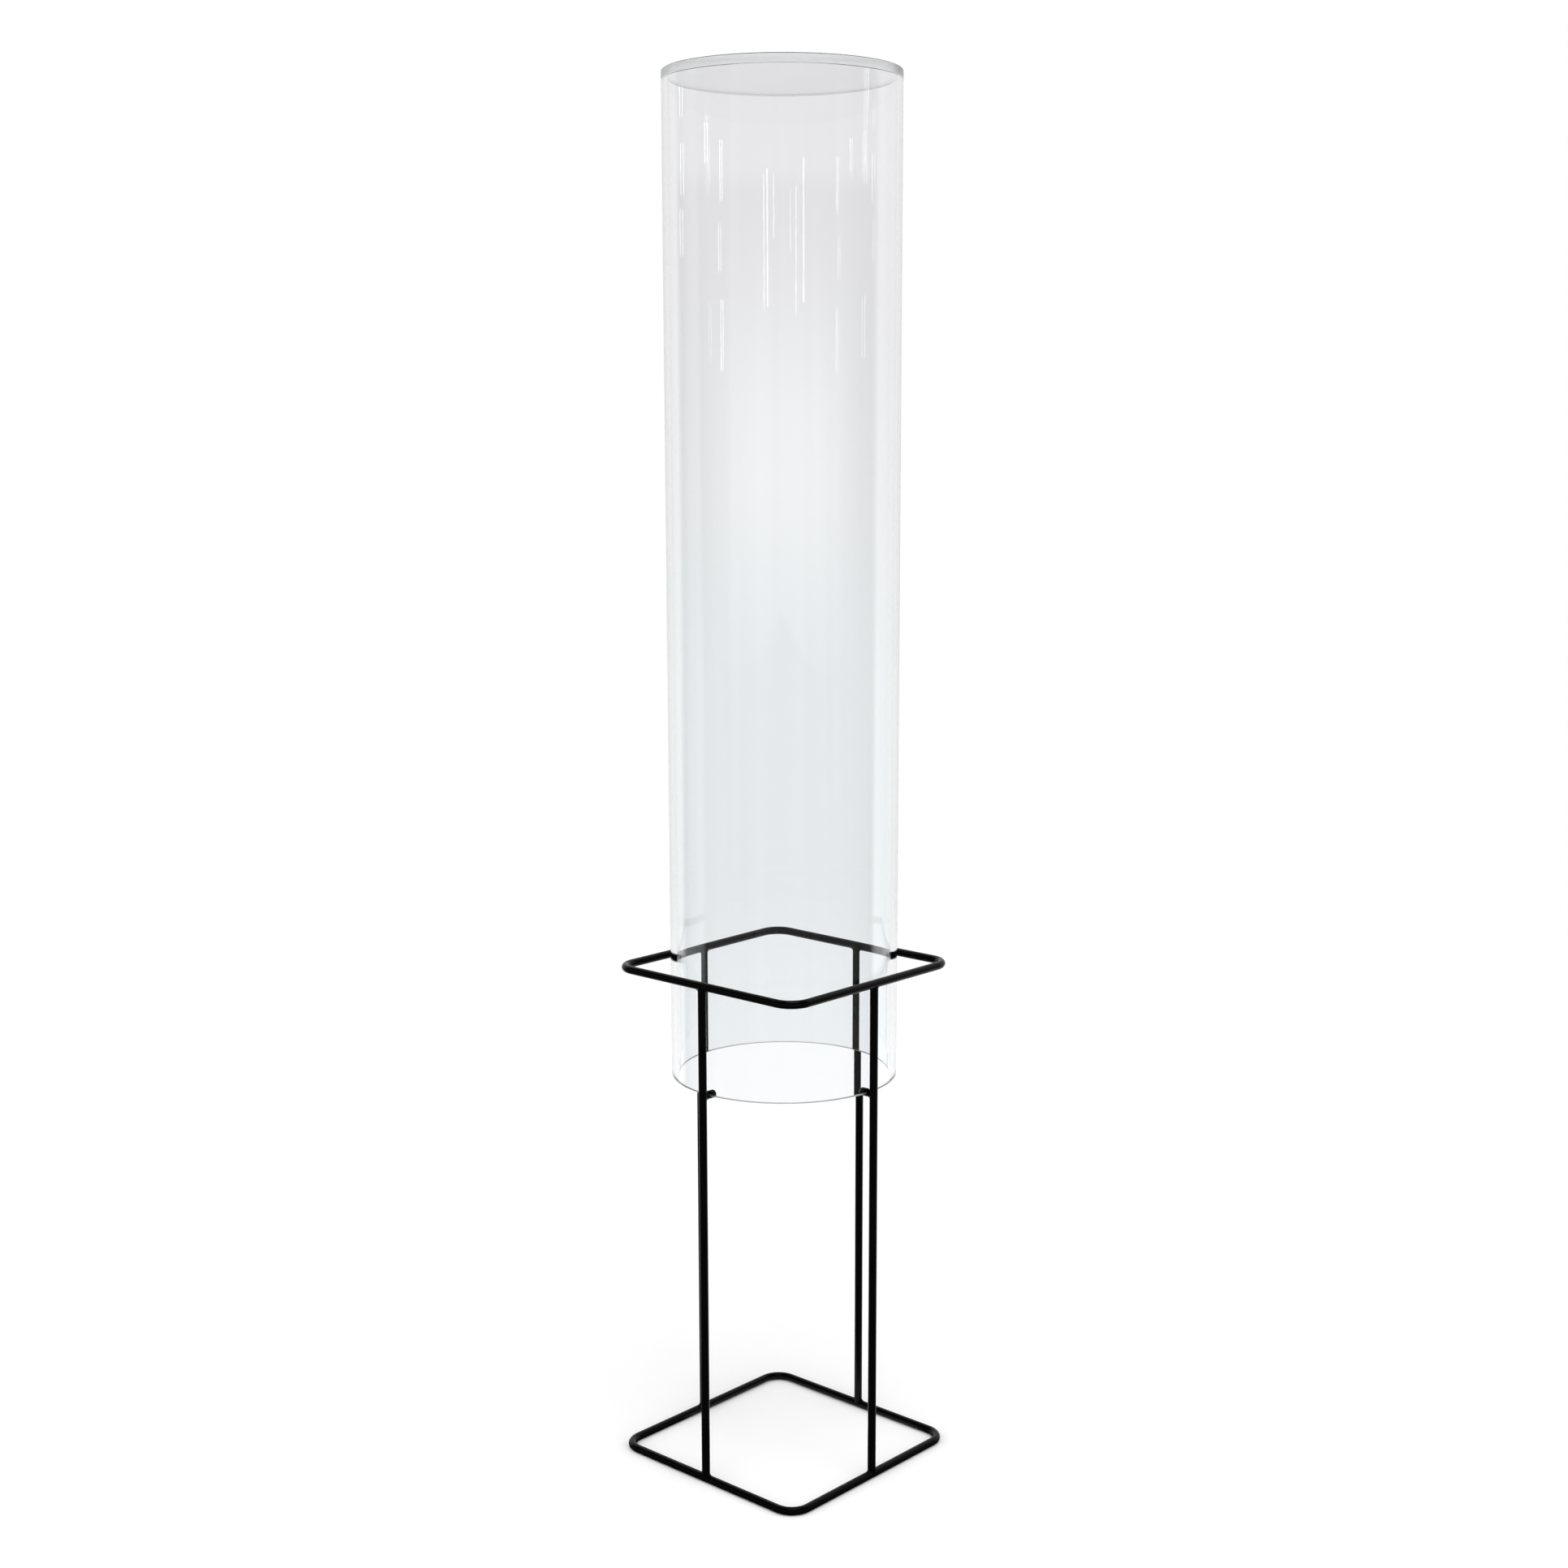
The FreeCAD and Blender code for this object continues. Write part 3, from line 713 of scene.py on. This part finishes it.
def soft_lamp(name, azimuth, distance, height, width, tall, power):
    """Rectangular lamp that faces the column's middle; azimuth 0 is towards -Y."""
    data = bpy.data.lights.new(name, "AREA")
    data.shape = "RECTANGLE"
    data.size = width
    data.size_y = tall
    data.energy = power
    lamp = bpy.data.objects.new(name, data)
    bpy.context.collection.objects.link(lamp)
    turn = math.radians(azimuth)
    lamp.location = (distance * math.sin(turn), -distance * math.cos(turn), height)
    aim = Vector((0, 0, COLUMN_MIDDLE)) - lamp.location
    lamp.rotation_euler = aim.to_track_quat("-Z", "Y").to_euler()
    print("hung", name)


soft_lamp("overhead_softbox", azimuth=60, distance=0.8, height=3.4, width=1.6, tall=1.2,
          power=14)

# %% [markdown]
# Small lamps stand round the front, at about the height of the column's upper end. A
# round wall squeezes each of them into a thin upright dash, once on its outer face and
# once, on the other side of the column, on its inner one. Long thin lamps close by could
# draw the same dashes, but they would light the bars too. A lamp's power is its glow
# times pi times its area, so a larger one with the same glow looks as bright.

# %% The small lamps
SMALL_LAMP_DISTANCE = 4.0
# azimuth in degrees, height, width and length in metres, and glow of each small lamp
SMALL_LAMPS = [
    (-70, 1.83, 0.05, 0.08, 6), (-69, 1.66, 0.05, 0.13, 7), (-71, 1.50, 0.05, 0.12, 6),
    (-35, 1.72, 0.06, 0.10, 8), (-18, 1.65, 0.05, 0.15, 9), (-20, 1.46, 0.05, 0.12, 7),
    (-18, 1.24, 0.05, 0.18, 8), (28, 1.48, 0.04, 0.34, 7), (34, 1.56, 0.03, 0.16, 6),
    (62, 1.50, 0.04, 0.36, 7), (128, 1.76, 0.16, 0.28, 1.6), (126, 1.70, 0.03, 0.10, 8),
    (130, 1.86, 0.03, 0.12, 6), (126, 1.26, 0.04, 0.16, 6),
]

for number, (azimuth, height, width, tall, glow) in enumerate(SMALL_LAMPS, start=1):
    soft_lamp("small_lamp_%d" % number, azimuth, SMALL_LAMP_DISTANCE, height, width, tall,
              power=glow * math.pi * width * tall)

# %% [markdown]
# The camera stands where the photograph was taken from: a little over two metres off,
# almost on the line through two corners of the stand, and at about the height of the
# column's middle. It could be placed by eye, but its lens and its tilt were worked out
# from the rings, the legs and the column's rims. The small shift only moves the picture
# up in its frame, as in the photograph.

# %% Camera
CAMERA_AZIMUTH = 42.213
CAMERA_DISTANCE = 2.1581
CAMERA_HEIGHT = 1.0303
CAMERA_TILT_DOWN = 10.372
CAMERA_AIM_ASIDE = -0.028
CAMERA_LEAN = 0.107
LENS, SENSOR_WIDTH = 51.867, 36
SHIFT_UP = 0.03
NEAREST_SEEN = 0.05

camera_data = bpy.data.cameras.new("camera")
camera_data.lens = LENS
camera_data.sensor_width = SENSOR_WIDTH
camera_data.shift_y = SHIFT_UP
camera_data.clip_start = NEAREST_SEEN
camera = bpy.data.objects.new("camera", camera_data)
bpy.context.collection.objects.link(camera)
turn = math.radians(CAMERA_AZIMUTH)
camera.location = (CAMERA_DISTANCE * math.sin(turn), -CAMERA_DISTANCE * math.cos(turn),
                   CAMERA_HEIGHT)
camera.rotation_euler = (math.radians(90 - CAMERA_TILT_DOWN), math.radians(CAMERA_LEAN),
                         math.radians(CAMERA_AZIMUTH + CAMERA_AIM_ASIDE))
bpy.context.scene.camera = camera
print("camera at", [round(value, 3) for value in camera.location])

# %% [markdown]
# Blender can bend a finished render to look like film, which would grey the white
# background. The colours here are measured, so the plain standard view keeps them.

# %% Plain colours
view = bpy.context.scene.view_settings
view.view_transform = "Standard"
view.look = "None"
print("view transform:", view.view_transform)
